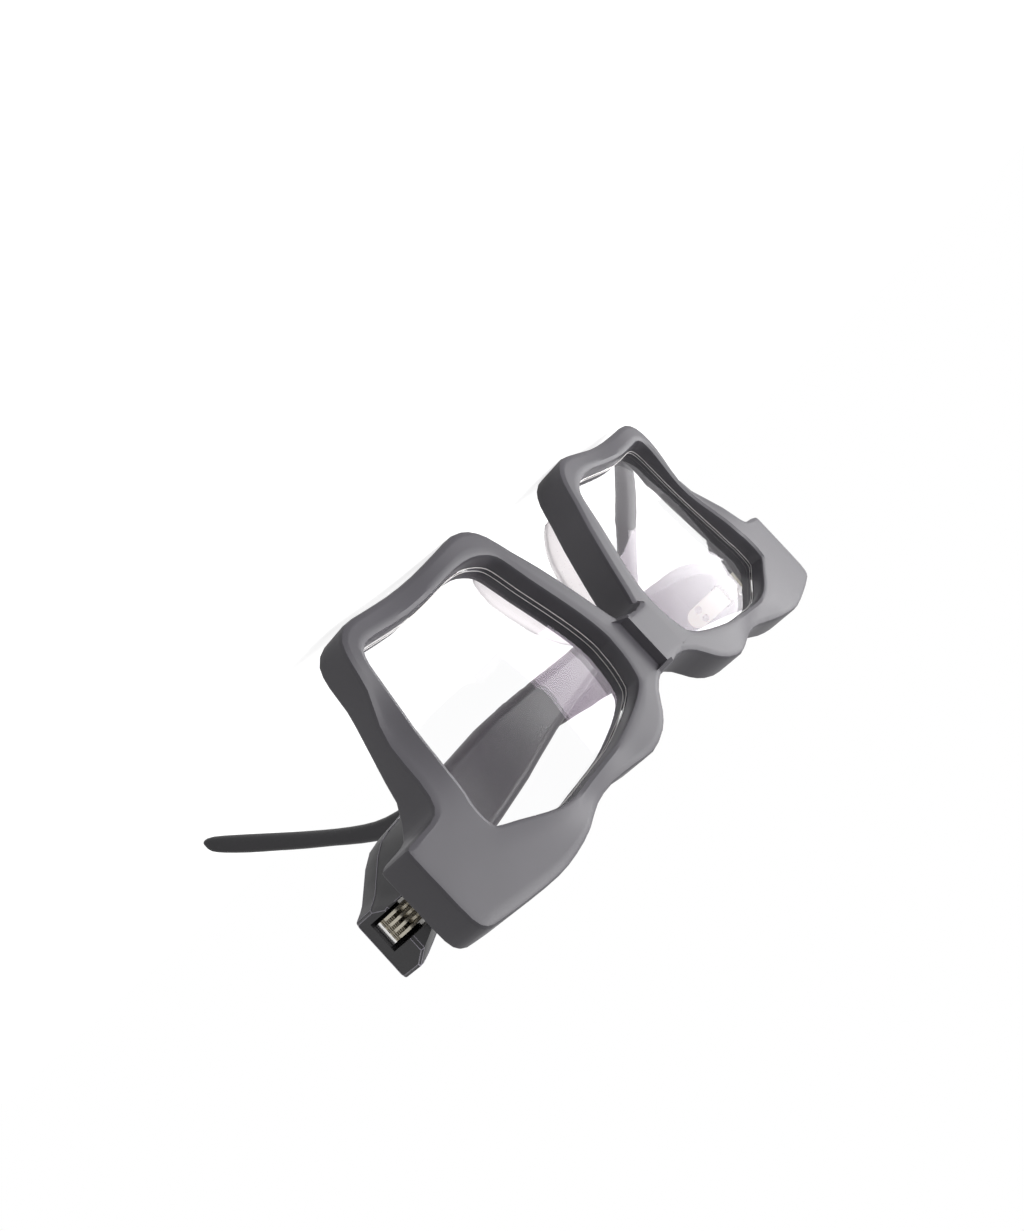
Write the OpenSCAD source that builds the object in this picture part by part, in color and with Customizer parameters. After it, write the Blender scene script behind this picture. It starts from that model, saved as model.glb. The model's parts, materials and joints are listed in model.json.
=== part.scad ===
// Eyeglasses with an angular, soft edged frame, clear lenses and folding temples.
// Millimetres. X points to the wearer's left, Y to the back, Z up.
// The origin is the middle of the flat bar on the bridge, on its front face.

/* [Front] */
// Half of the front's overall width
front_half_w = 71.3; // [66:0.1:76]
// Height scale of the rim outline
rim_height_k = 1.0; // [0.9:0.01:1.1]
// Rim depth from front face to back face
rim_depth = 8.7; // [6:0.1:11]
// Radius of the front's base curve
base_curve_r = 286.5; // [200:0.5:500]
// Rounding of the front edges
edge_r = 1.0; // [0.6:0.1:2]
// Rounding of the back edges
back_edge_r = 0.8; // [0.3:0.1:1.2]
// Depth of the scallop in the lateral edge
side_scallop = 3.0; // [0:0.1:4]
// Depth of the scallop in the top edge
top_scallop = 2.2; // [0:0.1:3]
// Depth of the scallop in the bottom edge
bottom_scallop = 1.3; // [0:0.1:2]

/* [Bridge] */
// Width of the raised bar on the bridge
bar_w = 7.4; // [5:0.1:8]
// Height of the raised bar above the rims
bar_h = 2.0; // [0.5:0.1:2.5]

/* [Lenses] */
// Lens thickness
lens_t = 1.8; // [1.2:0.1:2.4]
// Depth of the groove that holds the lens
groove_d = 0.95; // [0.6:0.05:1.2]
// Distance from the front surface to the middle of the groove
groove_y = 4.6; // [4:0.1:5.5]
// Clearance round the lens edge
lens_gap = 0.12; // [0.05:0.01:0.3]
// Extra bulge of the lens at its middle
lens_crown = 0.9; // [0:0.1:1.5]

/* [Nose pads] */
// How far a pad stands behind the rim
pad_h = 5.6; // [3:0.1:8]
// Thickness of a pad at its foot
pad_t = 3.0; // [2:0.1:3.6]

/* [Temples] */
// Reach of a temple from its butt to its tip
temple_reach = 150; // [140:1:160]
// Gap between an open temple's butt and the front
butt_gap = 0.4; // [0.3:0.05:0.6]
// Distance from the hinge axis to the outer face
outer_d = 6.4; // [5.5:0.1:7.5]
// Distance from the hinge axis to the inner face of the root
inner_d = 5.4; // [5:0.1:5.5]
// Outward bow of the temple at its middle
temple_bow = 3.0; // [0:0.1:5]
// How far the hook drops below the root
hook_drop = 1.0; // [0.8:0.05:1.05]

/* [Hinges] */
// Gap between a folded temple and the rivets on the front
fold_gap = 0.38; // [0.3:0.01:0.6]
// Height of the hinge's lowest knuckle
hinge_z = 9.0; // [8.6:0.1:9.4]
// Height of one knuckle
knuckle_h = 0.52; // [0.45:0.01:0.58]
// Axial gap between knuckles
knuckle_gap = 0.09; // [0.05:0.01:0.12]
// Outer radius of a knuckle
knuckle_r = 2.2; // [1.8:0.1:2.3]
// Radius of the hinge screw
screw_r = 0.72; // [0.5:0.01:0.9]
// Radial running clearance round the screw
screw_gap = 0.03; // [0.02:0.01:0.08]
// Thickness of the hinge plates
plate_t = 0.8; // [0.5:0.05:0.9]
// Shank radius of the rivets
rivet_r = 0.7; // [0.5:0.05:0.9]

/* [Pose] */
// Left temple, degrees folded from open
left_fold = 90; // [0:1:90]
// Right temple, degrees folded from open
right_fold = 26; // [0:1:60]

/* [Hidden] */
$fn = 32;

frame_colour = [0.20, 0.20, 0.21];
metal_colour = [0.72, 0.70, 0.64];
lens_colour = [0.92, 0.94, 0.97, 0.3];
pad_colour = [0.93, 0.90, 0.90, 0.5];

// Outline of one half: [outer x, outer z, inner x, inner z], first along the middle of the
// bridge, then down the nose side, along the bottom, up the side, round the end piece and
// back along the top.
knots = [
    [0, 11.6, 10.6, 9.1], [0, 7.6, 9.8, 6.9], [0, 3.6, 9.2, 4.2], [0, 0, 9, 1.7],
    [1.8, -0.25, 8.9, 0.6], [3.3, -1.3, 9.15, -1.9], [4.6, -4.4, 10.1, -5.9], [6.4, -9.6, 11.8, -11],
    [9.5, -17.7, 14, -17], [12.1, -23.2, 15.3, -21.2], [14.2, -28, 16.4, -23.8],
    [16.9, -30.9, 18.3, -25.3], [20.5, -32, 21.3, -26.4], [26, -31.4, 26, -26.6],
    [33, -30.6, 33, -25.8], [40, -30.4, 40, -25.4], [46.5, -30.7, 46, -25.8],
    [51.5, -30.8, 50, -26.1], [54.6, -28.8, 51.9, -25.3], [55.9, -25, 52.7, -23],
    [56.5, -20, 52.9, -19.3], [58, -14.5, 53.2, -13.5], [60.2, -7, 54.2, -7],
    [61.9, -0.5, 55.4, -1], [63.5, 2, 55.75, 1.4], [66.6, 2.6, 56.1, 3.4], [69.5, 2.8, 56.4, 4.3],
    [71.05, 3.3, 56.55, 5.1], [71.3, 5.1, 56.65, 6.4], [71.2, 11.5, 56.65, 8.2],
    [71, 18, 56.2, 10], [69.8, 20.6, 55.3, 10.6], [67, 21.5, 54.1, 11.2],
    [60.5, 22.5, 51.8, 12.2], [53.5, 23.2, 48.4, 13.8], [48, 22.9, 44.7, 15.3],
    [42, 21.8, 40.4, 15.9], [36, 19.9, 35.5, 15.5], [31, 19.3, 30.5, 15.1],
    [25.5, 19.9, 25.5, 14.6], [20, 20.6, 21, 13.6], [15, 19.4, 16.5, 12.3],
    [11.5, 17.1, 13.6, 11.2], [8.3, 13.9, 12, 10.4], [4.5, 12, 11.2, 9.8]
];
// The knots that lie on the middle plane of the bridge
mid_knots = 4;
nk = len(knots);
ns = 2 * nk;
mid_last = 2 * (mid_knots - 1);

function wrap(i, n) = (i % n + n) % n;
function smooth(t) = let (c = max(0, min(1, t))) c * c * (3 - 2 * c);
width_k = front_half_w / 71.3;
function knot(i, c) = knots[wrap(i, nk)][c] * (c % 2 == 0 ? width_k : rim_height_k);
// Every second station lies half way between two knots, on a smooth curve through them.
function station(i, c) =
    i % 2 == 0 ? knot(i / 2, c)
    : (c == 0 && i < mid_last) ? 0
    : let (k = (i - 1) / 2) (9 * (knot(k, c) + knot(k + 1, c)) - knot(k - 1, c) - knot(k + 2, c)) / 16;
outer = [for (i = [0 : ns - 1]) [max(0, station(i, 0)), station(i, 1)]];
inner = [for (i = [0 : ns - 1]) [station(i, 2), station(i, 3)]];

function side(p, q) = let (d = q - p, l = norm(d)) [-d[1] / l, d[0] / l];
function edge_normal(c, i) = side(c[wrap(i + 1, ns)], c[wrap(i - 1, ns)]);
outer_n = [for (i = [0 : ns - 1])
    i == 0 ? [0, 1] : i == mid_last ? [0, -1] : i < mid_last ? [0, 0] : edge_normal(outer, i)];
inner_n = [for (i = [0 : ns - 1]) edge_normal(inner, i)];

function base(x) = x * x / (2 * base_curve_r);
function bump(p, c, w) = exp(-pow((p[0] / width_k - c[0]) / w[0], 2) - pow((p[1] / rim_height_k - c[1]) / w[1], 2));
// Scallops where the outline is pinched
function dip(p) = side_scallop * bump(p, [58.5, -13], [5, 8.5])
    + top_scallop * bump(p, [34, 20], [8.5, 4.2]) + bottom_scallop * bump(p, [37, -31], [9, 4.2]);
// The raised bar on the bridge
function bar(x) = smooth((bar_w / 2 + 0.25 - x) / 0.4);
function front_y(p) = (base(p[0]) + dip(p)) * (1 - bar(p[0])) - bar_h * bar(p[0]);
// Flat seat for the hinge behind the end piece
hinge_seat_y = base(front_half_w) + rim_depth;
function back_y(p) = let (y = base(p[0]) + rim_depth)
    y + (hinge_seat_y - y) * smooth((p[0] - 56.5 * width_k) / 2) * smooth((p[1] + 3) / 5);

function at(p, y) = [p[0], y, p[1]];
function out_p(i, d) = outer[i] - outer_n[i] * d;
function in_p(i, d) = inner[i] + inner_n[i] * d;
function mix(a, b, t) = a + (b - a) * t;
// Where the face points of a station lie between its inner and outer edge
function face_t(i) = let (a = in_p(i, edge_r)[0], b = out_p(i, edge_r)[0], w = bar_w / 2)
    b < w - 0.2 ? [(a - w - 0.25) / (a - b) / 2, (a - w - 0.25) / (a - b), (a - w + 0.15) / (a - b)]
    : [0.3, 0.6, 0.85];
function section(i) = let (
        a = in_p(i, edge_r), b = out_p(i, edge_r), t = face_t(i), c = 0.29,
        fo = front_y(b), fi = front_y(a),
        bo = back_y(out_p(i, back_edge_r)), bi = back_y(in_p(i, back_edge_r)),
        m = mix(out_p(i, back_edge_r), in_p(i, back_edge_r), 0.8), g = base(inner[i][0]) + groove_y
    ) [
        at(a, front_y(a)), for (k = t) at(mix(a, b, k), front_y(mix(a, b, k))), at(b, front_y(b)),
        at(out_p(i, c * edge_r), fo + c * edge_r), at(out_p(i, 0), fo + edge_r),
        at(out_p(i, 0), bo - back_edge_r), at(out_p(i, c * back_edge_r), bo - c * back_edge_r),
        at(out_p(i, back_edge_r), bo), at(m, back_y(m)), at(in_p(i, back_edge_r), bi),
        at(in_p(i, c * back_edge_r), bi - c * back_edge_r), at(in_p(i, 0), bi - back_edge_r),
        at(in_p(i, 0), g + groove_d + 0.1), at(in_p(i, groove_d), g), at(in_p(i, 0), g - groove_d - 0.1),
        at(in_p(i, 0), fi + edge_r), at(in_p(i, c * edge_r), fi + c * edge_r)
    ];
nm = 19;
// Points of the outer wall, which both halves share on the middle plane
wall_from = 4;
wall_to = 9;

module front_frame() {
    half = [for (i = [0 : ns - 1]) section(i)];
    pts = [for (i = [0 : ns - 1]) for (p = half[i]) p];
    n = ns * nm;
    twin = [for (i = [0 : ns - 1]) for (p = half[i]) [-p[0], p[1], p[2]]];
    function id(i, j, s) = let (a = wrap(i, ns), b = wrap(j, nm))
        a * nm + b + ((s == 0 || (a <= mid_last && b >= wall_from && b <= wall_to)) ? 0 : n);
    function open_quad(i, j) = !(i < mid_last && j >= wall_from && j < wall_to);
    quads = [for (s = [0, 1]) for (i = [0 : ns - 1]) for (j = [0 : nm - 1]) if (open_quad(i, j))
        let (a = id(i, j, s), b = id(i, j + 1, s), c = id(i + 1, j + 1, s), d = id(i + 1, j, s))
        s == 0 ? [d, c, b, a] : [a, b, c, d]];
    tris = [for (q = quads) for (t = [[q[0], q[1], q[2]], [q[0], q[2], q[3]]]) t];
    color(frame_colour) left_side() polyhedron(concat(pts, twin), tris, convexity = 8);
}

// A lens: its rim is a bevel that sits in the groove, its faces bulge towards the front.
module lens_solid() {
    centre = [33 * width_k, -5.5 * rim_height_k];
    h = lens_t / 2;
    inset = groove_d - 0.25 - lens_gap;
    function ring(k, d, y) = [for (i = [0 : ns - 1])
        let (p = mix(inner[i] + inner_n[i] * d, centre, k), c = lens_crown * (1 - (1 - k) * (1 - k)))
        at(p, base(p[0]) + groove_y + y - c)];
    rings = [
        ring(0.62, 0, -h), ring(0.3, 0, -h), ring(0, -0.15, -h), ring(0, inset, 0),
        ring(0, -0.15, h), ring(0.3, 0, h), ring(0.62, 0, h)
    ];
    pts = concat([for (r = rings) each r],
        [at(centre, base(centre[0]) + groove_y - h - lens_crown), at(centre, base(centre[0]) + groove_y + h - lens_crown)]);
    last = len(rings) - 1;
    n = len(rings) * ns;
    faces = [
        for (r = [0 : last - 1]) for (i = [0 : ns - 1]) let (k = wrap(i + 1, ns), a = r * ns, b = (r + 1) * ns)
            each [[a + i, b + k, b + i], [a + i, a + k, b + k]],
        for (i = [0 : ns - 1]) [n, wrap(i + 1, ns), i],
        for (i = [0 : ns - 1]) [n + 1, last * ns + i, last * ns + wrap(i + 1, ns)]
    ];
    polyhedron(pts, faces, convexity = 4);
}

// A nose pad: a soft fin on the back of the rim's nose side.
pad_from = 11;
pad_to = 19;
module pad_solid() {
    rows = 2 * (pad_to - pad_from);
    cols = 10;
    function foot(i) = (outer[i] + inner[i]) / 2;
    pts = [for (k = [0 : rows]) let (
            i = pad_from + k / 2, lo = floor(i), f = foot(lo) + (foot(lo + 1) - foot(lo)) * (i - lo),
            n = outer_n[round(i)], t = k / rows, s = pow(sin(180 * (0.06 + 0.88 * t)), 0.6),
            h = pad_h * s, w = pad_t / 2 * (0.35 + 0.65 * s), y = back_y(f) + 0.05
        ) for (j = [0 : cols - 1]) let (
            v = j / (cols - 1) * 180, up = h * pow(sin(v), 0.7), o = w * cos(v) * (1 - 0.25 * sin(v)) + 0.18 * up)
        at(f + n * o, y + up)];
    n = (rows + 1) * cols;
    faces = [
        for (k = [0 : rows - 1]) for (j = [0 : cols - 1]) let (
            a = k * cols + j, b = k * cols + wrap(j + 1, cols), c = b + cols, d = a + cols)
            each [[a, c, b], [a, d, c]],
        for (j = [1 : cols - 2]) [0, j, j + 1],
        for (j = [1 : cols - 2]) [n - cols, n - cols + j + 1, n - cols + j]
    ];
    polyhedron(pts, faces, convexity = 4);
}

// Hinge axis when the temple is open, from the seat behind the end piece
sink = 0.05;
rivet_head_t = 0.27;
hinge_back = inner_d + fold_gap + rivet_head_t + plate_t + sink;
butt_d = hinge_back - butt_gap;
hinge_x = front_half_w - outer_d;
hinge_y = hinge_seat_y + hinge_back;
knuckle_pitch = knuckle_h + knuckle_gap;
knuckles = 7;
hinge_top = hinge_z + knuckles * knuckle_pitch - knuckle_gap;
washer_t = 0.2;
head_t = 0.55;
nut_t = 0.6;
slot_lo = hinge_z - nut_t - 0.15;
slot_hi = hinge_top + washer_t + head_t + 0.15;
slot_r = knuckle_r + 0.3;

// Temple: rows of [distance from the butt, inner face, outer face, lower edge, upper edge, roundness]
temple_rows = [
    [0.5, 0, 0, 6.5, 18.6, 0.12], [1.2, 0, 0, 6.2, 18.6, 0.12], [2.2, 0, 0, 5.8, 18.4, 0.12],
    [3.4, 0, 0, 5.2, 18.1, 0.12], [6, 0, 0, 3.3, 17.3, 0.14], [9, 0, 0, 1.1, 16.3, 0.16],
    [12, 0, 0, -0.5, 15.2, 0.2], [15, 0.2, 0, -1.1, 14.2, 0.26], [18.5, 1.6, -0.1, -1.4, 13.3, 0.34],
    [22.5, 3.4, -0.2, -1.8, 12.7, 0.44], [28, 4.6, -0.3, -2.3, 12.1, 0.54],
    [36, 5.1, -0.4, -3, 11.4, 0.62], [50, 5.4, -0.5, -4, 9.7, 0.7], [66, 5.7, -0.6, -3.9, 6.9, 0.78],
    [84, 5.9, -0.8, -3.2, 4.8, 0.86], [98, 6.2, -1, -3, 3.2, 0.9], [106, 6.3, -1.1, -3.8, 2.1, 0.92],
    [112, 6.3, -1.1, -5.6, 0, 0.93], [118, 6.4, -1.2, -9, -3.6, 0.94], [124, 6.4, -1.2, -13.2, -8, 0.94],
    [130, 6.5, -1.3, -17.8, -12.3, 0.94], [136, 6.5, -1.4, -22.6, -16.9, 0.94], [142, 6.6, -1.5, -27.4, -21.5, 0.95],
    [147, 6.7, -1.7, -31.2, -25.8, 0.96], [149.3, 7.1, -2.1, -32, -28.2, 0.97], [150, 8, -3, -31.5, -29.8, 0.98]
];
nr = len(temple_rows);
temple_cols = 20;
// The inner front corner is rounded about the hinge axis, so that the root swings clear.
function root_in(s) = let (y = butt_d - s) y > sqrt(butt_d * butt_d - inner_d * inner_d)
    ? -sqrt(max(0.01, butt_d * butt_d - y * y)) : -inner_d;
// From the row of the slim part on, a smooth curve gives a further section half way between two rows.
slim_row = 12;
function row_at(r, c) = let (k = floor(r)) r == k ? temple_rows[k][c]
    : (9 * (temple_rows[k][c] + temple_rows[k + 1][c]) - temple_rows[k - 1][c] - temple_rows[min(nr - 1, k + 2)][c]) / 16;
// Each corner of a section is an arc of five points. Near the butt the two inner corners are
// cut off flat instead, from this distance inside the outer face, with these slopes below and above.
flat_w = 5.0;
slope_lo = 0.35;
slope_hi = 0.5;
function corner(r, w, h, a) = [r * cos(a), r * sin(a)] + [w - r, h - r];
function temple_corner(q, t, r, w, h, cut) = let (
        a = q % 2 == 0 ? 90 * t : 90 * (1 - t), k = a / 90, c = max(0.5, 2 * w - flat_w),
        f = [w - k * c, h - (1 - k) * c * (q == 1 ? slope_hi : slope_lo)]
    ) (q == 1 || q == 2) ? mix(corner(r, w, h, a), f, cut) : corner(r, w, h, a);
function drop(z, s) = z + (hook_drop - 1) * smooth((s - 100) / 30) * (z + 4);
function temple_section(r, inset = 0, y = undef) = let (
        t = row_at(r, 0), s = t < 30 ? t : 30 + (t - 30) * (temple_reach - 30) / 120,
        b = temple_bow * sin(180 * max(0, s - 20) / (temple_reach - 20)),
        x0 = root_in(s) + row_at(r, 1) + b + inset, x1 = outer_d + row_at(r, 2) + b - inset,
        z0 = drop(row_at(r, 3), t) + inset, z1 = drop(row_at(r, 4), t) - inset,
        w = (x1 - x0) / 2, h = (z1 - z0) / 2, e = row_at(r, 5) * min(w, h), cut = 1 - smooth((s - 16) / 14)
    ) [for (j = [0 : temple_cols - 1]) let (q = floor(j / 5), c = temple_corner(q, (j % 5) / 4, e, w, h, cut))
        [(x0 + x1) / 2 + c[0] * (q == 1 || q == 2 ? -1 : 1), y == undef ? s - butt_d : y,
         (z0 + z1) / 2 + c[1] * (q < 2 ? 1 : -1)]];
// The butt is the first section drawn in by half a millimetre.
function butt_section() = temple_section(0, 0.5, -butt_d);

module temple_solid() {
    rows = concat([butt_section()], [for (r = [0 : slim_row - 1]) temple_section(r)],
        [for (r = [slim_row : 0.5 : nr - 1]) temple_section(r)]);
    m = temple_cols;
    last = len(rows) - 1;
    faces = [
        for (r = [0 : last - 1]) for (j = [0 : m - 1]) let (k = wrap(j + 1, m), a = r * m, b = (r + 1) * m)
            each [[a + j, b + k, b + j], [a + j, a + k, b + k]],
        [for (j = [m - 1 : -1 : 0]) j],
        [for (j = [0 : m - 1]) last * m + j]
    ];
    difference() {
        polyhedron([for (r = rows) each r], faces, convexity = 6);
        // slot for the front's knuckles, open to the butt and to the inner side
        translate([-20, -20, slot_lo]) cube([20 + slot_r + 0.8, 20 + slot_r, slot_hi - slot_lo]);
        // recess for the hinge plate in the inner face
        translate([-20, 0, hinge_z - 0.35])
            cube([20 - inner_d + plate_t + 0.05, temple_plate_end - plate_half, 2 * plate_half + 0.1]);
        translate([-20, temple_plate_end - plate_half, hinge_mid]) rotate([0, 90, 0])
            cylinder(r = plate_half + 0.05, h = 20 - inner_d + plate_t + 0.05);
    }
}

temple_plate_end = 11;
hinge_mid = (hinge_z + hinge_top) / 2;
plate_half = (hinge_top - hinge_z) / 2 + 0.3;
function knuckle_level(i) = hinge_z + i * knuckle_pitch;

// Everything of a hinge is drawn about its own axis, with the front towards -Y.
// Leaves and wall plate of the temple's hinge stay inside the circle that clears the rivets.
leaf_reach = hinge_back - knuckle_r - 1.5;
wall_reach = hinge_back - 2.3;
module knuckle(i) {
    translate([0, 0, knuckle_level(i)]) cylinder(r = knuckle_r, h = knuckle_h);
}
module screw_bore() {
    translate([0, 0, hinge_z - 1]) cylinder(r = screw_r + screw_gap, h = hinge_top - hinge_z + 2);
}
module front_hinge_solid() {
    difference() {
        union() {
            translate([-4.7, -hinge_back + sink, hinge_mid - plate_half]) cube([4.7 + knuckle_r, plate_t, 2 * plate_half]);
            for (i = [1 : 2 : knuckles - 2]) {
                knuckle(i);
                translate([-0.6, -hinge_back + sink + plate_t / 2, knuckle_level(i)])
                    cube([2.4, hinge_back - plate_t / 2, knuckle_h]);
            }
        }
        screw_bore();
        rivet_holes_front() cylinder(r = rivet_r, h = 20, center = true);
    }
}
module temple_hinge_solid() {
    difference() {
        union() {
            translate([-inner_d, 0.9, hinge_mid - plate_half])
                cube([plate_t, temple_plate_end - plate_half - 0.9, 2 * plate_half]);
            translate([-inner_d, temple_plate_end - plate_half, hinge_mid]) rotate([0, 90, 0])
                cylinder(r = plate_half, h = plate_t);
            // wall plate behind the knuckles, seen in the butt's window
            translate([slot_r + 0.05, -wall_reach, hinge_z]) cube([0.65, wall_reach + 1.5, hinge_top - hinge_z]);
            for (i = [0 : 2 : knuckles - 1]) {
                hull() {
                    knuckle(i);
                    translate([0.75, -leaf_reach, 0]) knuckle(i);
                }
                translate([-inner_d + plate_t / 2, 0.9, knuckle_level(i)]) cube([inner_d - plate_t / 2, 1.3, knuckle_h]);
            }
        }
        screw_bore();
        rivet_holes_temple() cylinder(r = rivet_r, h = 20, center = true);
    }
}
module rivet_holes_front() {
    for (z = [-1.25, 1.25]) translate([-3.3, -hinge_back, hinge_mid + z]) rotate([90, 0, 0]) children();
}
module rivet_holes_temple() {
    for (z = [-1.25, 1.25]) translate([-inner_d, 7.4, hinge_mid + z]) rotate([0, 90, 0]) children();
}
module rivet() {
    cylinder(r = rivet_r - 0.02, h = plate_t + 0.1);
    translate([0, 0, plate_t + 0.02]) intersection() {
        cylinder(r = rivet_r + 0.35, h = rivet_head_t);
        translate([0, 0, rivet_head_t - 0.02 - 1.85]) sphere(r = 1.85);
    }
}
module screw_solid() {
    translate([0, 0, hinge_z - nut_t - 0.1]) cylinder(r = screw_r, h = hinge_top + washer_t - hinge_z + nut_t + 0.2);
    difference() {
        translate([0, 0, hinge_top + washer_t + 0.05]) cylinder(r = 1.45, h = head_t);
        translate([-2, -0.2, hinge_top + washer_t + 0.05 + head_t * 0.5]) cube([4, 0.4, 1]);
    }
}
module washer_solid() {
    translate([0, 0, hinge_top + 0.03]) difference() {
        cylinder(r = 1.8, h = washer_t - 0.03);
        translate([0, 0, -1]) cylinder(r = screw_r + screw_gap, h = 3);
    }
}
module nut_solid() {
    translate([0, 0, hinge_z - nut_t - 0.05]) difference() {
        cylinder(r = 1.7, h = nut_t, $fn = 6);
        translate([0, 0, -1]) cylinder(r = screw_r + screw_gap, h = 3);
    }
}

// Places: the pieces are drawn with the bridge's lower edge at z = 0 and its surface at y = 0,
// then moved to the bar's face. The right side is mirrored, and a temple turns about its hinge.
bar_mid_z = knots[0][1] * rim_height_k / 2;
module left_side() { translate([0, bar_h, -bar_mid_z]) children(); }
module right_side() { mirror([1, 0, 0]) left_side() children(); }
module at_hinge(fold = 0) { translate([hinge_x, hinge_y, 0]) rotate([0, 0, fold]) children(); }

module lens_left() { color(lens_colour) left_side() lens_solid(); }
module lens_right() { color(lens_colour) right_side() lens_solid(); }
module nose_pad_left() { color(pad_colour) left_side() pad_solid(); }
module nose_pad_right() { color(pad_colour) right_side() pad_solid(); }
module front_hinge_left() { color(metal_colour) left_side() at_hinge() front_hinge_solid(); }
module front_hinge_right() { color(metal_colour) right_side() at_hinge() front_hinge_solid(); }
module front_hinge_rivets_left() {
    color(metal_colour) left_side() at_hinge() rivet_holes_front() rotate([180, 0, 0]) translate([0, 0, 0.05]) rivet();
}
module front_hinge_rivets_right() {
    color(metal_colour) right_side() at_hinge() rivet_holes_front() rotate([180, 0, 0]) translate([0, 0, 0.05]) rivet();
}
module hinge_screw_left() { color(metal_colour) left_side() at_hinge() screw_solid(); }
module hinge_screw_right() { color(metal_colour) right_side() at_hinge() screw_solid(); }
module hinge_washer_left() { color(metal_colour) left_side() at_hinge() washer_solid(); }
module hinge_washer_right() { color(metal_colour) right_side() at_hinge() washer_solid(); }
module hinge_nut_left() { color(metal_colour) left_side() at_hinge() nut_solid(); }
module hinge_nut_right() { color(metal_colour) right_side() at_hinge() nut_solid(); }
module temple_left() { color(frame_colour) left_side() at_hinge(left_fold) temple_solid(); }
module temple_right() { color(frame_colour) right_side() at_hinge(right_fold) temple_solid(); }
module temple_hinge_left() { color(metal_colour) left_side() at_hinge(left_fold) temple_hinge_solid(); }
module temple_hinge_right() { color(metal_colour) right_side() at_hinge(right_fold) temple_hinge_solid(); }
module temple_hinge_rivets_left() {
    color(metal_colour) left_side() at_hinge(left_fold) rivet_holes_temple() rotate([180, 0, 0]) translate([0, 0, -plate_t]) rivet();
}
module temple_hinge_rivets_right() {
    color(metal_colour) right_side() at_hinge(right_fold)
        rivet_holes_temple() rotate([180, 0, 0]) translate([0, 0, -plate_t]) rivet();
}

front_frame();
lens_left();
lens_right();
nose_pad_left();
nose_pad_right();
front_hinge_left();
front_hinge_right();
front_hinge_rivets_left();
front_hinge_rivets_right();
hinge_screw_left();
hinge_screw_right();
hinge_washer_left();
hinge_washer_right();
hinge_nut_left();
hinge_nut_right();
temple_left();
temple_right();
temple_hinge_left();
temple_hinge_right();
temple_hinge_rivets_left();
temple_hinge_rivets_right();
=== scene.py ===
"""The look of the eyeglasses: finishes, small details of lenses, temples and hinges, and a stage."""

import json
import math

import bmesh
import bpy
from bpy.props import FloatProperty, FloatVectorProperty, PointerProperty
from mathutils import Matrix, Vector


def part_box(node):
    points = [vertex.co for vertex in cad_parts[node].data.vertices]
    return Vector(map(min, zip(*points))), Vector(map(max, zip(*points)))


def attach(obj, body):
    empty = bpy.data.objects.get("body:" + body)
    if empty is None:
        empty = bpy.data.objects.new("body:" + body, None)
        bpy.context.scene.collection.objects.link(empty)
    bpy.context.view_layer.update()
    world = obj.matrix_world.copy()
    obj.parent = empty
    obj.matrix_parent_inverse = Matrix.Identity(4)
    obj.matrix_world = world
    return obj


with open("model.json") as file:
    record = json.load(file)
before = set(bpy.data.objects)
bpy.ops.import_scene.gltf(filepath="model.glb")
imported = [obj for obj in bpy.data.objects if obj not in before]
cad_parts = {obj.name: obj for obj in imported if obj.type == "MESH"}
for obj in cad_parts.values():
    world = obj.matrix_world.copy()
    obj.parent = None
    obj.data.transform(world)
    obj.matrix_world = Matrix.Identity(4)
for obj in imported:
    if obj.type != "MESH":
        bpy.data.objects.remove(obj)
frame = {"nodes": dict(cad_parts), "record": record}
NODES = frame["nodes"]

bl_info = {
    "name": "Geometric eyeglasses",
    "version": (1, 0, 0),
    "blender": (4, 5, 0),
    "location": "View3D > Sidebar > Eyeglasses",
    "description": "Finishes an angular plastic eyeglass frame with clear lenses and folding temples",
    "category": "Object",
}

MM = 0.001
SIDES = ("left", "right")

# How far each temple is folded at rest, in degrees from open
REST_FOLD = {"left": 90.0, "right": 26.0}

# Joining and smoothing of the CAD meshes, with angles in degrees
WELD = 0.002 * MM
HARD_EDGE = 32.0
LENS_HARD_EDGE = 24.0
PAD_HARD_EDGE = 60.0
FLAT_WEIGHT = 80
CHAMFER_ANGLES = (38.0, 66.0)

# Edges of the temple roots that get pale lines of painted highlight, in the hinge's own frame
ROOT_LENGTH = 14.0 * MM
ROOT_ANGLES = (15.0, 75.0)
BUTT_EDGE = -5.5 * MM
ALONG_SHARE = 0.6

# Ridged block and cut end in the temple's window, in the hinge's own frame
LEAF_MARGIN = 0.3 * MM
LEAF_INNER = 2.0 * MM
LEAF_OUTER = 3.25 * MM
LEAF_BACK = -2.5 * MM
LEAF_FRONT = -5.6 * MM
LEAF_END = -5.85 * MM
LEAF_RIDGES = 7
RIDGE_DEPTH = 0.08 * MM
RIDGE_SHAPE = ((0.1, 1.0), (0.35, 0.0), (0.75, 0.0), (1.0, 1.0))
CORNER_SHARE = 0.4

# Grain: grains to the metre, depth, and the broad blotches of tone
METAL_GRAIN = 2500.0
STEEL_GRAIN = 3000.0
GRAIN_DEPTH = 0.006 * MM
GRAIN_DETAIL = 3.0
BLOTCH_SCALE = 90.0
BLOTCH_DETAIL = 2.0

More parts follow.
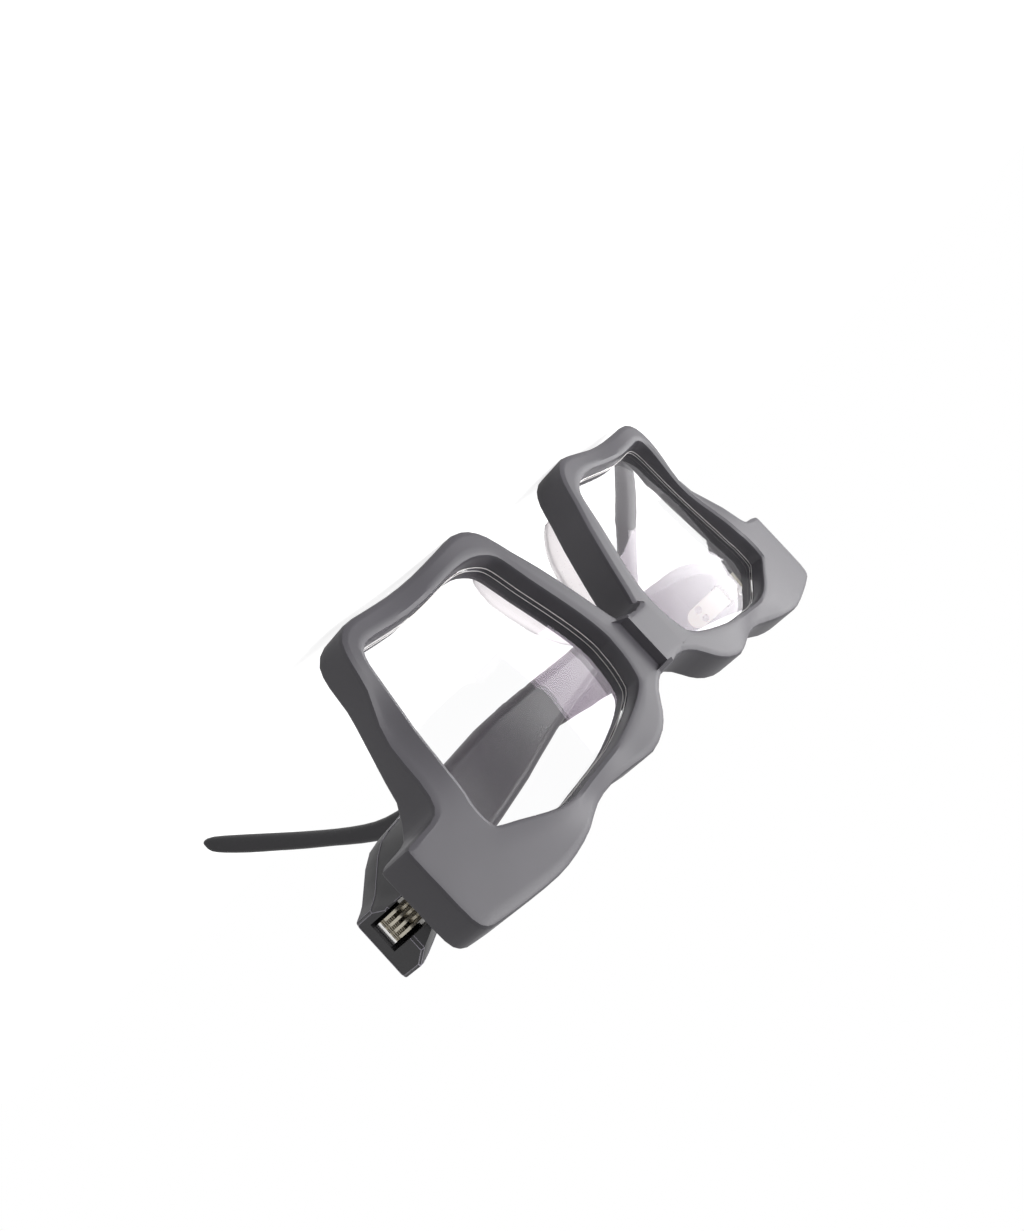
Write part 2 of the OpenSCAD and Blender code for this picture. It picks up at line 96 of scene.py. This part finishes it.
# Pairs of colours that a finish varies between, and the share of the first that gives the second
PAD_COLOURS = ((0.98, 0.94, 0.95, 1.0), (0.96, 0.91, 0.93, 1.0))
STEEL_COLOURS = ((0.62, 0.61, 0.59, 1.0), (0.5, 0.49, 0.47, 1.0))
RIVET_COLOURS = ((0.22, 0.21, 0.2, 1.0), (0.3, 0.28, 0.26, 1.0))
CUT_COLOURS = ((0.98, 0.97, 0.96, 1.0), (0.94, 0.93, 0.92, 1.0))
# The dimmer colour of the painted highlight on the lens chamfers
DIM_CHAMFER_HIGHLIGHT = (0.7, 0.68, 0.68, 1.0)
WORN_FRONT = 1.25
WORN_TEMPLE = 1.2
DULL = 0.8
SMUDGED = 0.985
BLOCK_TONES = (0.9, 0.6)

# How much smoother the temples are than the front, and how much rougher the rivets than the plates
TEMPLE_SMOOTHER = 0.04
RIVET_ROUGHER = 0.1

# Camera, fitted to the outlines of both rims
IMAGE_LONG_SIDE = 1231
FOCAL_PIXELS = 1507.6
SENSOR = 36.0
NEAR_CLIP = 0.01
CAMERA_PLACE = (0.225108, -0.169934, -0.005678)
CAMERA_TURN = (math.radians(-85.846), math.radians(-42.871), math.radians(-133.491))

# Floor and room: colours, and how bright they are to the camera and in reflections
FLOOR_RADIUS = 0.45
FLOOR_SIDES = 64
FLOOR_MIDDLE = (0.0, 0.07)
FLOOR_COLOUR = (0.6, 0.6, 0.6, 1.0)
FLOOR_GLOW = 0.82
FLOOR_IN_GLOSS = 0.55
ROOM_IN_GLOSS = 0.7

# Lamps: name, the setting of its power, place, target and size
LAMPS = (
    ("Front lamp", "front_power", (-0.10, -0.85, 0.32), (0.0, 0.0, 0.0), (0.5, 0.36)),
    ("Side lamp", "side_power", (-0.683, -0.311, 0.05), (0.0, 0.0, -0.01), (0.33, 0.6)),
    ("Tall lamp", "tall_power", (-0.533, -0.527, 0.05), (0.0, 0.0, -0.01), (0.20, 0.6)),
    ("High lamp", "high_power", (-0.30, -0.72, 0.62), (0.0, 0.03, 0.0), (0.5, 0.5)),
)

FRAME_NODES = ("front_frame",)
TEMPLE_NODES = ("temple_left", "temple_right")
LENS_NODES = ("lens_left", "lens_right")
PAD_NODES = ("nose_pad_left", "nose_pad_right")
PLATE_NODES = ("front_hinge_left", "front_hinge_right", "temple_hinge_left", "temple_hinge_right")
SCREW_NODES = (
    "hinge_screw_left", "hinge_screw_right", "hinge_washer_left", "hinge_washer_right",
    "hinge_nut_left", "hinge_nut_right",
)
RIVET_NODES = (
    "front_hinge_rivets_left", "front_hinge_rivets_right",
    "temple_hinge_rivets_left", "temple_hinge_rivets_right",
)


class PlasticFinish(bpy.types.PropertyGroup):
    """Matt plastic of the front and the temples."""

    colour: FloatVectorProperty(
        name="Colour", description="Colour of the plastic", subtype="COLOR", size=4,
        default=(0.051, 0.048, 0.056, 1.0), min=0.0, max=1.0,
    )
    roughness: FloatProperty(
        name="Roughness", description="Roughness of the matt surface", default=0.46, min=0.0, max=1.0,
    )
    # The temples take the front's colour darkened by this share: painted shade for the shade they lie in
    # behind the rims.
    temple_shade_tone: FloatProperty(
        name="Temple shade tone", description="How dark the temples are, as a share of the front's colour",
        default=0.34, min=0.2, max=1.5,
    )
    # The edge tone makes the lines on the temple edges several times lighter than the plastic: a painted
    # highlight.
    edge_highlight_tone: FloatProperty(
        name="Edge highlight tone", description="How light the rubbed edges are, as a multiple of the colour",
        default=7.0, min=1.0, max=12.0,
    )
    edge_radius: FloatProperty(
        name="Edge radius", description="Radius of the rubbed edges", default=0.00008,
        min=0.00002, max=0.0003, unit="LENGTH",
    )
    grain_size: FloatProperty(
        name="Grain", description="Width of one grain of the matt surface", default=0.00025,
        min=0.00005, max=0.002, unit="LENGTH",
    )


class LensFinish(bpy.types.PropertyGroup):
    """Clear lens with a faint coating."""

    tint: FloatVectorProperty(
        name="Tint", description="Tint of the lens", subtype="COLOR", size=4,
        default=(0.985, 0.985, 0.99, 1.0), min=0.0, max=1.0,
    )
    ior: FloatProperty(name="IOR", description="Refraction of the lens", default=1.33, min=1.3, max=1.8)
    coating: FloatVectorProperty(
        name="Coating", description="Tint of the lens's reflection", subtype="COLOR", size=4,
        default=(0.78, 0.62, 0.8, 1.0), min=0.0, max=1.0,
    )
    # Pale colour of the lines on the lens chamfer: a painted highlight.
    chamfer_highlight_colour: FloatVectorProperty(
        name="Chamfer highlight colour", description="Colour of the painted highlight on the polished chamfer", subtype="COLOR", size=4,
        default=(0.86, 0.83, 0.82, 1.0), min=0.0, max=1.0,
    )
    edge_radius: FloatProperty(
        name="Edge radius", description="Radius of the polished chamfer", default=0.00007,
        min=0.00003, max=0.0004, unit="LENGTH",
    )


class MetalFinish(bpy.types.PropertyGroup):
    """Satin nickel of the hinges."""

    colour: FloatVectorProperty(
        name="Colour", description="Colour of the nickel", subtype="COLOR", size=4,
        default=(0.72, 0.67, 0.56, 1.0), min=0.0, max=1.0,
    )
    roughness: FloatProperty(
        name="Roughness", description="Roughness of the nickel", default=0.34, min=0.0, max=1.0,
    )
    metallic: FloatProperty(
        name="Metallic", description="How metallic the brushed nickel looks", default=0.7, min=0.0, max=1.0,
    )


class StageLight(bpy.types.PropertyGroup):
    """Strength of the studio's lamps."""

    front_power: FloatProperty(
        name="Front lamp", description="Power of the lamp before the frame", default=6.8, min=0.0, max=50.0,
    )
    side_power: FloatProperty(
        name="Side lamp", description="Power of the wide lamp at the side", default=3.8, min=0.0, max=50.0,
    )
    tall_power: FloatProperty(
        name="Tall lamp", description="Power of the tall lamp between them", default=2.4, min=0.0, max=50.0,
    )
    high_power: FloatProperty(
        name="High lamp", description="Power of the lamp above the front", default=3.4, min=0.0, max=50.0,
    )
    room: FloatProperty(
        name="Room", description="Light from the white room", default=0.31, min=0.0, max=2.0,
    )


def node(tree, kind, place=(0, 0), **values):
    """Adds a shader node and sets its attributes."""
    made = tree.nodes.new(kind)
    made.location = place
    for key, value in values.items():
        setattr(made, key, value)
    return made


def link(tree, source, target):
    """Joins an output to an input."""
    tree.links.new(source, target)


def toned(colour, share):
    """The colour made darker or lighter by the share."""
    return tuple(min(1.0, part * share) for part in colour[:3]) + (1.0,)


def grain_group():
    """Fine grain: two close colours and two roughnesses mixed by noise, and a height."""
    group = bpy.data.node_groups.get("Fine grain")
    if group:
        return group
    group = bpy.data.node_groups.new("Fine grain", "ShaderNodeTree")
    face = group.interface
    for name, kind, value in (
        ("Scale", "NodeSocketFloat", 1000.0),
        ("Colour", "NodeSocketColor", (0.03, 0.03, 0.03, 1.0)),
        ("Worn colour", "NodeSocketColor", (0.05, 0.05, 0.05, 1.0)),
        ("Smooth", "NodeSocketFloat", 0.4),
        ("Rough", "NodeSocketFloat", 0.5),
    ):
        socket = face.new_socket(name=name, in_out="INPUT", socket_type=kind)
        socket.default_value = value
    face.new_socket(name="Colour", in_out="OUTPUT", socket_type="NodeSocketColor")
    face.new_socket(name="Roughness", in_out="OUTPUT", socket_type="NodeSocketFloat")
    face.new_socket(name="Height", in_out="OUTPUT", socket_type="NodeSocketFloat")
    enter = node(group, "NodeGroupInput", (-900, 0))
    leave = node(group, "NodeGroupOutput", (500, 0))
    place = node(group, "ShaderNodeTexCoord", (-900, -300))
    fine = node(group, "ShaderNodeTexNoise", (-600, -200))
    fine.inputs["Detail"].default_value = GRAIN_DETAIL
    broad = node(group, "ShaderNodeTexNoise", (-600, -500))
    broad.inputs["Scale"].default_value = BLOTCH_SCALE
    broad.inputs["Detail"].default_value = BLOTCH_DETAIL
    link(group, place.outputs["Object"], fine.inputs["Vector"])
    link(group, place.outputs["Object"], broad.inputs["Vector"])
    link(group, enter.outputs["Scale"], fine.inputs["Scale"])
    tone = node(group, "ShaderNodeMix", (0, 200), data_type="RGBA")
    link(group, broad.outputs["Fac"], tone.inputs["Factor"])
    link(group, enter.outputs["Colour"], tone.inputs["A"])
    link(group, enter.outputs["Worn colour"], tone.inputs["B"])
    matt = node(group, "ShaderNodeMix", (0, -100), data_type="FLOAT")
    link(group, fine.outputs["Fac"], matt.inputs["Factor"])
    link(group, enter.outputs["Smooth"], matt.inputs["A"])
    link(group, enter.outputs["Rough"], matt.inputs["B"])
    link(group, tone.outputs["Result"], leave.inputs["Colour"])
    link(group, matt.outputs["Result"], leave.inputs["Roughness"])
    link(group, fine.outputs["Fac"], leave.inputs["Height"])
    return group


def grained(name, colours, roughness, spread, scale, bump, sockets=()):
    """A material that varies by the fine grain: in colour, and in roughness and normal if asked for."""
    made = bpy.data.materials.new(name)
    made.use_nodes = True
    tree = made.node_tree
    shader = tree.nodes["Principled BSDF"]
    for socket, value in sockets:
        shader.inputs[socket].default_value = value
    grain = node(tree, "ShaderNodeGroup", (-500, 0), node_tree=grain_group())
    grain.inputs["Scale"].default_value = scale
    grain.inputs["Colour"].default_value, grain.inputs["Worn colour"].default_value = colours
    grain.inputs["Smooth"].default_value = roughness - spread
    grain.inputs["Rough"].default_value = roughness + spread
    link(tree, grain.outputs["Colour"], shader.inputs["Base Color"])
    shader.inputs["Roughness"].default_value = roughness
    if spread:
        link(tree, grain.outputs["Roughness"], shader.inputs["Roughness"])
    if bump:
        relief = node(tree, "ShaderNodeBump", (-250, -300))
        relief.inputs["Strength"].default_value = bump
        relief.inputs["Distance"].default_value = GRAIN_DEPTH
        link(tree, grain.outputs["Height"], relief.inputs["Height"])
        link(tree, relief.outputs["Normal"], shader.inputs["Normal"])
    return made


def smooth_cad(name, angle):
    """Joins the points of a CAD node and shades it smooth, apart from edges sharper than the angle."""
    piece = NODES[name]
    mesh = piece.data
    if mesh.has_custom_normals:
        with bpy.context.temp_override(object=piece, active_object=piece):
            bpy.context.view_layer.objects.active = piece
            bpy.ops.mesh.customdata_custom_splitnormals_clear()
    mesh.shade_smooth()
    weld = piece.modifiers.new("Weld", "WELD")
    weld.merge_threshold = WELD
    split = piece.modifiers.new("Sharp edges", "EDGE_SPLIT")
    split.split_angle = math.radians(angle)
    flat = piece.modifiers.new("Flat faces stay flat", "WEIGHTED_NORMAL")
    flat.mode = "FACE_AREA_WITH_ANGLE"
    flat.weight = FLAT_WEIGHT
    flat.keep_sharp = True


def finish_nodes(names, material, angle=HARD_EDGE):
    """Smooths the CAD nodes and gives them the material."""
    for name in names:
        smooth_cad(name, angle)
        piece = NODES[name]
        piece.data.materials.clear()
        piece.data.materials.append(material)


class EYEGLASSES_OT_front(bpy.types.Operator):
    """Gives the front its matt plastic"""

    bl_idname = "eyeglasses.front"
    bl_label = "Finish the front"

    def execute(self, context):
        look = context.scene.plastic_finish
        colours = (tuple(look.colour), toned(look.colour, WORN_FRONT))
        plastic = grained(
            "Matt front plastic", colours, look.roughness, spread=0.04, scale=1.0 / look.grain_size, bump=0.25
        )
        finish_nodes(FRAME_NODES, plastic)
        return {"FINISHED"}


class EYEGLASSES_OT_temples(bpy.types.Operator):
    """Gives both temples the front's matt plastic, darkened as painted shade"""

    bl_idname = "eyeglasses.temples"
    bl_label = "Finish the temples"

    def execute(self, context):
        look = context.scene.plastic_finish
        # Darker copy of the front's plastic: painted shade.
        colour = toned(look.colour, look.temple_shade_tone)
        colours = (colour, toned(colour, WORN_TEMPLE))
        roughness = look.roughness - TEMPLE_SMOOTHER
        plastic = grained(
            "Matt temple plastic", colours, roughness, spread=0.04, scale=1.0 / look.grain_size, bump=0.05
        )
        finish_nodes(TEMPLE_NODES, plastic)
        return {"FINISHED"}


class EYEGLASSES_OT_lenses(bpy.types.Operator):
    """Makes the lenses clear glass that casts no shadow"""

    bl_idname = "eyeglasses.lenses"
    bl_label = "Finish the lenses"

    def execute(self, context):
        look = context.scene.lens_finish
        tints = (tuple(look.tint), toned(look.tint, SMUDGED))
        clear = (("IOR", look.ior), ("Transmission Weight", 1.0), ("Specular Tint", tuple(look.coating)))
        glass = grained(
            "Clear coated lens", tints, roughness=0.0, spread=0.0, scale=METAL_GRAIN, bump=0.0, sockets=clear
        )
        finish_nodes(LENS_NODES, glass, LENS_HARD_EDGE)
        for name in LENS_NODES:
            NODES[name].visible_shadow = False
            NODES[name].visible_diffuse = False
        return {"FINISHED"}


def welded(name):
    """A copy of a CAD node's mesh with its doubled points joined."""
    work = bmesh.new()
    work.from_mesh(NODES[name].data)
    bmesh.ops.remove_doubles(work, verts=work.verts, dist=WELD)
    return work


def bent_edges(work, angles):
    """The edges whose two faces meet at an angle between the two, in degrees."""
    low, high = (math.radians(angle) for angle in angles)
    return [
        edge for edge in work.edges
        if len(edge.link_faces) == 2 and low < edge.calc_face_angle(0.0) < high
    ]


def edge_rings(name, angles):
    """The closed rings of bent edges of a CAD node, as lists of points."""
    work = welded(name)
    beside = {}
    for edge in bent_edges(work, angles):
        a, b = edge.verts
        beside.setdefault(a.index, []).append(b.index)
        beside.setdefault(b.index, []).append(a.index)
    work.verts.ensure_lookup_table()
    rings = []
    seen = set()
    for first in sorted(beside):
        if first in seen:
            continue
        ring = [first]
        seen.add(first)
        while True:
            onward = [k for k in beside[ring[-1]] if k not in seen]
            if not onward:
                break
            ring.append(onward[0])
            seen.add(onward[0])
        rings.append([work.verts[k].co.copy() for k in ring])
    work.free()
    return rings


def round_lines(name, runs, radius, roundness, closed, material):
    """Thin round lines through each run of points, in one piece."""
    curve = bpy.data.curves.new(name, "CURVE")
    curve.dimensions = "3D"
    curve.bevel_depth = radius
    curve.bevel_resolution = roundness
    curve.use_fill_caps = not closed
    for run in runs:
        spline = curve.splines.new("POLY")
        spline.points.add(len(run) - 1)
        for point, place in zip(spline.points, run):
            point.co = (*place, 1.0)
        spline.use_cyclic_u = closed
    curve.materials.append(material)
    lines = bpy.data.objects.new(name, curve)
    bpy.context.scene.collection.objects.link(lines)
    return lines


def hinge_turn(side):
    """The hinge's own frame at rest, with x outwards and y to the back of the open temple."""
    joints = {joint["child"]: joint for joint in frame["record"]["behaviour"]["joints"]}
    place = Vector(joints[f"{side}_temple"]["pos_m"])
    turn = Matrix.Rotation(math.radians(REST_FOLD[side]), 4, "Z")
    mirror = Matrix.Scale(-1.0, 4, (1.0, 0.0, 0.0)) if side == "right" else Matrix.Identity(4)
    flat = Vector((abs(place.x), place.y, 0.0))
    return mirror @ Matrix.Translation(flat) @ turn


def root_edges(side):
    """A temple root's edges along its length and round its butt, as pairs of points, without its slot's."""
    back = hinge_turn(side).inverted()
    work = welded(f"temple_{side}")
    pairs = []
    for edge in bent_edges(work, ROOT_ANGLES):
        ends = [vert.co.copy() for vert in edge.verts]
        first, last = (back @ end for end in ends)
        along = abs(first.y - last.y) > ALONG_SHARE * (first - last).length
        far = max(first.y, last.y)
        if far < BUTT_EDGE or (along and far < ROOT_LENGTH):
            pairs.append(ends)
    work.free()
    return pairs


class EYEGLASSES_OT_temple_edges(bpy.types.Operator):
    """Lays pale lines of painted highlight along the root edges of each temple"""

    bl_idname = "eyeglasses.temple_edges"
    bl_label = "Rub the temple edges"

    def execute(self, context):
        look = context.scene.plastic_finish
        # Pale lines several times lighter than the plastic stand in for the light the edges catch: painted
        # highlight.
        edge = toned(look.colour, look.edge_highlight_tone)
        colours = (edge, toned(edge, DULL))
        highlighted = grained(
            "Rubbed temple edge", colours, roughness=0.34, spread=0.05, scale=1.0 / look.grain_size, bump=0.05
        )
        for side in SIDES:
            name = f"temple_{side}_edges"
            lines = round_lines(name, root_edges(side), look.edge_radius, 1, closed=False, material=highlighted)
            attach(lines, f"{side}_temple")
        return {"FINISHED"}


def prism(name, outline, low, high, turn, material):
    """A solid with the outline, in the hinge's own x and y, from low to high."""
    work = bmesh.new()
    floor = [work.verts.new((x, y, low)) for x, y in outline]
    roof = [work.verts.new((x, y, high)) for x, y in outline]
    work.faces.new(floor)
    work.faces.new(roof)
    for k in range(len(outline)):
        after = (k + 1) % len(outline)
        work.faces.new((floor[k], floor[after], roof[after], roof[k]))
    bmesh.ops.transform(work, matrix=turn, verts=work.verts)
    bmesh.ops.recalc_face_normals(work, faces=work.faces)
    mesh = bpy.data.meshes.new(name)
    work.to_mesh(mesh)
    work.free()
    mesh.materials.append(material)
    solid = bpy.data.objects.new(name, mesh)
    bpy.context.scene.collection.objects.link(solid)
    return solid


def ridged_outline():
    """The leaf block's outline, with fine ridges along its inner side."""
    step = (LEAF_FRONT - LEAF_BACK) / LEAF_RIDGES
    ridges = []
    for k in range(LEAF_RIDGES):
        start = LEAF_BACK + k * step
        for share, depth in RIDGE_SHAPE:
            ridges.append((LEAF_INNER + depth * RIDGE_DEPTH, start + share * step))
    return ridges + [(LEAF_OUTER, LEAF_FRONT), (LEAF_OUTER, LEAF_BACK)]


def end_outline():
    """The outline of the block's cut end, with its two front corners taken off."""
    cut = CORNER_SHARE * (LEAF_FRONT - LEAF_END)
    return [
        (LEAF_INNER, LEAF_FRONT), (LEAF_INNER, LEAF_END + cut), (LEAF_INNER + cut, LEAF_END),
        (LEAF_OUTER - cut, LEAF_END), (LEAF_OUTER, LEAF_END + cut), (LEAF_OUTER, LEAF_FRONT),
    ]


class EYEGLASSES_OT_leaf_ends(bpy.types.Operator):
    """Puts the ridged block with its bright cut end on the outer wall of each temple hinge"""

    bl_idname = "eyeglasses.leaf_ends"
    bl_label = "Cut the leaf ends"

    def execute(self, context):
        look = context.scene.metal_finish
        colours = tuple(toned(look.colour, share) for share in BLOCK_TONES)
        ridged = grained(
            "Ridged leaf block", colours, look.roughness, spread=0.06, scale=METAL_GRAIN, bump=0.3,
            sockets=(("Metallic", 0.5),),
        )
        bright = grained(
            "Cut leaf end", CUT_COLOURS, roughness=0.2, spread=0.04, scale=STEEL_GRAIN, bump=0.1,
            sockets=(("Metallic", 1.0),),
        )
        for side in SIDES:
            low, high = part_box(f"temple_hinge_{side}")
            bottom = low.z + LEAF_MARGIN
            top = high.z - LEAF_MARGIN
            turn = hinge_turn(side)
            for piece in (
                prism(f"leaf_block_{side}", ridged_outline(), bottom, top, turn, ridged),
                prism(f"leaf_end_{side}", end_outline(), bottom, top, turn, bright),
            ):
                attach(piece, f"{side}_temple")
        return {"FINISHED"}


class EYEGLASSES_OT_lens_edges(bpy.types.Operator):
    """Lays pale lines on the polished chamfer round both faces of each lens, where it meets the rim, as
    painted highlight
    """

    bl_idname = "eyeglasses.lens_edges"
    bl_label = "Polish the lens edges"

    def execute(self, context):
        look = context.scene.lens_finish
        # Pale lines in place of the light the polished chamfer catches: painted highlight.
        colours = (tuple(look.chamfer_highlight_colour), DIM_CHAMFER_HIGHLIGHT)
        polished = grained(
            "Polished lens edge", colours, roughness=0.25, spread=0.05, scale=METAL_GRAIN, bump=0.1
        )
        for name in LENS_NODES:
            rings = edge_rings(name, CHAMFER_ANGLES)
            if len(rings) != 2:
                raise RuntimeError(f"{name} has {len(rings)} chamfer rings, not 2")
            for side, ring in zip(("front", "back"), rings):
                label = f"{name}_{side}_chamfer"
                line = round_lines(label, [ring], look.edge_radius, 2, closed=True, material=polished)
                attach(line, "front")
        return {"FINISHED"}


class EYEGLASSES_OT_nose_pads(bpy.types.Operator):
    """Makes the nose pads milky and clear"""

    bl_idname = "eyeglasses.nose_pads"
    bl_label = "Finish the nose pads"

    def execute(self, context):
        clear = (("IOR", 1.42), ("Transmission Weight", 0.9))
        milky = grained(
            "Milky pad", PAD_COLOURS, roughness=0.28, spread=0.02, scale=METAL_GRAIN, bump=0.0, sockets=clear
        )
        finish_nodes(PAD_NODES, milky, PAD_HARD_EDGE)
        return {"FINISHED"}


class EYEGLASSES_OT_hinges(bpy.types.Operator):
    """Gives the hinge plates their nickel, and screws, washers, nuts and rivets their steel"""

    bl_idname = "eyeglasses.hinges"
    bl_label = "Finish the hinges"

    def execute(self, context):
        look = context.scene.metal_finish
        metal = (("Metallic", 1.0),)
        satin = (("Metallic", look.metallic),)
        colours = (tuple(look.colour), toned(look.colour, DULL))
        nickel = grained(
            "Satin nickel", colours, look.roughness, spread=0.06, scale=METAL_GRAIN, bump=0.3, sockets=satin
        )
        finish_nodes(PLATE_NODES, nickel)
        steel = grained(
            "Turned steel", STEEL_COLOURS, look.roughness, spread=0.05, scale=STEEL_GRAIN, bump=0.2,
            sockets=metal,
        )
        finish_nodes(SCREW_NODES, steel)
        dark = grained(
            "Dark rivet", RIVET_COLOURS, look.roughness + RIVET_ROUGHER, spread=0.05, scale=STEEL_GRAIN,
            bump=0.2, sockets=metal,
        )
        finish_nodes(RIVET_NODES, dark)
        return {"FINISHED"}


def area_lamp(name, place, target, size, power):
    """A rectangular lamp at a place, turned to a target."""
    data = bpy.data.lights.new(name, "AREA")
    data.shape = "RECTANGLE"
    data.size, data.size_y = size
    data.energy = power
    lamp = bpy.data.objects.new(name, data)
    lamp.location = place
    lamp.rotation_euler = (Vector(target) - Vector(place)).to_track_quat("-Z", "Y").to_euler()
    bpy.context.scene.collection.objects.link(lamp)


def seen_rays(tree, glossy_share):
    """A value that is 1 for camera and transmission rays, and the share for glossy ones."""
    ray = node(tree, "ShaderNodeLightPath", (-1100, 0))
    seen = node(tree, "ShaderNodeMath", (-900, 0), operation="MAXIMUM")
    link(tree, ray.outputs["Is Camera Ray"], seen.inputs[0])
    link(tree, ray.outputs["Is Transmission Ray"], seen.inputs[1])
    share = node(tree, "ShaderNodeMath", (-900, -200), operation="MULTIPLY")
    share.inputs[1].default_value = glossy_share
    link(tree, ray.outputs["Is Glossy Ray"], share.inputs[0])
    both = node(tree, "ShaderNodeMath", (-700, 0), operation="MAXIMUM")
    link(tree, seen.outputs[0], both.inputs[0])
    link(tree, share.outputs[0], both.inputs[1])
    return both.outputs[0]


def pale_floor(height):
    """A wide pale floor that stays white to the camera and keeps the shadow."""
    mesh = bpy.data.meshes.new("Floor")
    work = bmesh.new()
    bmesh.ops.create_circle(work, cap_ends=True, segments=FLOOR_SIDES, radius=FLOOR_RADIUS)
    work.to_mesh(mesh)
    work.free()
    floor = bpy.data.objects.new("Floor", mesh)
    floor.location = (*FLOOR_MIDDLE, height)
    bpy.context.scene.collection.objects.link(floor)
    made = bpy.data.materials.new("Pale floor")
    made.use_nodes = True
    tree = made.node_tree
    tree.nodes.clear()
    leave = node(tree, "ShaderNodeOutputMaterial", (600, 0))
    matt = node(tree, "ShaderNodeBsdfDiffuse", (0, 0))
    matt.inputs["Color"].default_value = FLOOR_COLOUR
    glow = node(tree, "ShaderNodeEmission", (0, -200))
    strength = node(tree, "ShaderNodeMath", (-150, 0), operation="MULTIPLY")
    strength.inputs[1].default_value = FLOOR_GLOW
    link(tree, seen_rays(tree, FLOOR_IN_GLOSS), strength.inputs[0])
    link(tree, strength.outputs[0], glow.inputs["Strength"])
    both = node(tree, "ShaderNodeAddShader", (300, 0))
    link(tree, matt.outputs[0], both.inputs[0])
    link(tree, glow.outputs[0], both.inputs[1])
    link(tree, both.outputs[0], leave.inputs["Surface"])
    mesh.materials.append(made)


def white_world(room):
    """A plain world: white to the camera, and the room's light otherwise."""
    world = bpy.data.worlds.new("Studio")
    bpy.context.scene.world = world
    world.use_nodes = True
    tree = world.node_tree
    shade = tree.nodes["Background"]
    shade.inputs["Color"].default_value = (1.0, 1.0, 1.0, 1.0)
    level = node(tree, "ShaderNodeMix", (-250, 0), data_type="FLOAT")
    level.inputs["A"].default_value = room
    level.inputs["B"].default_value = 1.0
    link(tree, seen_rays(tree, ROOM_IN_GLOSS), level.inputs["Factor"])
    link(tree, level.outputs["Result"], shade.inputs["Strength"])


class EYEGLASSES_OT_stage(bpy.types.Operator):
    """Sets the floor, the lamps, the world and the camera"""

    bl_idname = "eyeglasses.stage"
    bl_label = "Set the stage"

    def execute(self, context):
        scene = context.scene
        light = scene.stage_light
        scene.view_settings.view_transform = "Standard"
        pale_floor(min(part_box(name)[0].z for name in NODES))
        white_world(light.room)
        for name, power, place, target, size in LAMPS:
            area_lamp(name, place, target, size, getattr(light, power))
        data = bpy.data.cameras.new("Camera")
        data.sensor_width = SENSOR
        data.lens = FOCAL_PIXELS / IMAGE_LONG_SIDE * SENSOR
        data.clip_start = NEAR_CLIP
        camera = bpy.data.objects.new("Camera", data)
        camera.location = CAMERA_PLACE
        camera.rotation_euler = CAMERA_TURN
        scene.collection.objects.link(camera)
        scene.camera = camera
        return {"FINISHED"}


class EYEGLASSES_PT_panel(bpy.types.Panel):
    """Lists the steps and their values"""

    bl_idname = "EYEGLASSES_PT_panel"
    bl_label = "Eyeglasses"
    bl_space_type = "VIEW_3D"
    bl_region_type = "UI"
    bl_category = "Eyeglasses"

    def draw(self, context):
        layout = self.layout
        scene = context.scene
        for settings in (scene.plastic_finish, scene.lens_finish, scene.metal_finish, scene.stage_light):
            box = layout.box()
            for key in settings.__annotations__:
                box.prop(settings, key)
        for step in STEPS:
            layout.operator(step.bl_idname)


STEPS = (
    EYEGLASSES_OT_front,
    EYEGLASSES_OT_temples,
    EYEGLASSES_OT_temple_edges,
    EYEGLASSES_OT_lenses,
    EYEGLASSES_OT_lens_edges,
    EYEGLASSES_OT_nose_pads,
    EYEGLASSES_OT_hinges,
    EYEGLASSES_OT_leaf_ends,
    EYEGLASSES_OT_stage,
)
SETTINGS = (PlasticFinish, LensFinish, MetalFinish, StageLight)


def register():
    """Registers the settings, the steps and the panel."""
    for kind in SETTINGS + STEPS + (EYEGLASSES_PT_panel,):
        bpy.utils.register_class(kind)
    bpy.types.Scene.plastic_finish = PointerProperty(type=PlasticFinish)
    bpy.types.Scene.lens_finish = PointerProperty(type=LensFinish)
    bpy.types.Scene.metal_finish = PointerProperty(type=MetalFinish)
    bpy.types.Scene.stage_light = PointerProperty(type=StageLight)


def unregister():
    """Takes back what register did."""
    del bpy.types.Scene.stage_light
    del bpy.types.Scene.metal_finish
    del bpy.types.Scene.lens_finish
    del bpy.types.Scene.plastic_finish
    for kind in reversed(SETTINGS + STEPS + (EYEGLASSES_PT_panel,)):
        bpy.utils.unregister_class(kind)


def main():
    """Runs the steps in order."""
    register()
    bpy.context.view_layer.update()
    bpy.ops.eyeglasses.front()
    bpy.ops.eyeglasses.temples()
    bpy.ops.eyeglasses.temple_edges()
    bpy.ops.eyeglasses.lenses()
    bpy.ops.eyeglasses.lens_edges()
    bpy.ops.eyeglasses.nose_pads()
    bpy.ops.eyeglasses.hinges()
    bpy.ops.eyeglasses.leaf_ends()
    bpy.ops.eyeglasses.stage()


if __name__ == "__main__":
    main()
